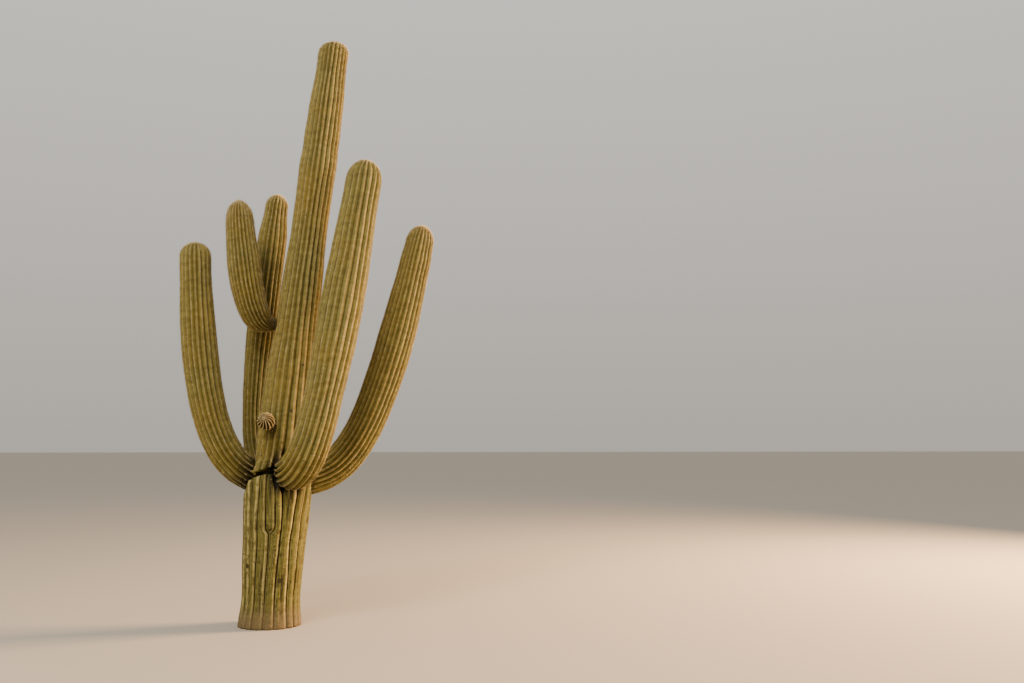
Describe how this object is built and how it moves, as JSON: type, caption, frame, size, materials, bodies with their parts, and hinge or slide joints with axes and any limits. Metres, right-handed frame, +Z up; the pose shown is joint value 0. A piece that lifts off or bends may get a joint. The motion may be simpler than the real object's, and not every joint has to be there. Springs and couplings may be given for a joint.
{
  "type": "saguaro cactus",
  "caption": "Tall ribbed desert cactus: a leaning main stem rooted at a flat ground cut, with upswept arms that leave it at a low collar and higher up.",
  "frame": {"origin": "middle of the flat cut under the main stem, at ground level", "axes": "+Z up; the view along +Y shows every arm, with the left arm towards -X and the far right arm towards +X"},
  "size_m": [2.357, 1.1977, 5.5],
  "materials": {
    "stem_skin": "waxy olive-green plant skin, dull, corky brown near the ground",
    "arm_skin": "waxy olive-green plant skin, dull, paler towards the tips",
    "young_skin": "waxy pale green skin under close grey spines",
    "spines": "dry straw to grey spines in clusters along every rib"
  },
  "bodies": {
    "root": {"trunk": "stem_skin", "arm_left_elbow": "arm_skin", "arm_left_upright": "arm_skin", "arm_right_elbow": "arm_skin", "arm_right_upright": "arm_skin", "arm_front_elbow": "arm_skin", "arm_front_upright": "arm_skin", "arm_back_elbow": "arm_skin", "arm_back_upright": "arm_skin", "arm_upper_left_elbow": "arm_skin", "arm_upper_left_upright": "arm_skin", "young_arm": "young_skin"}
  },
  "joints": []
}
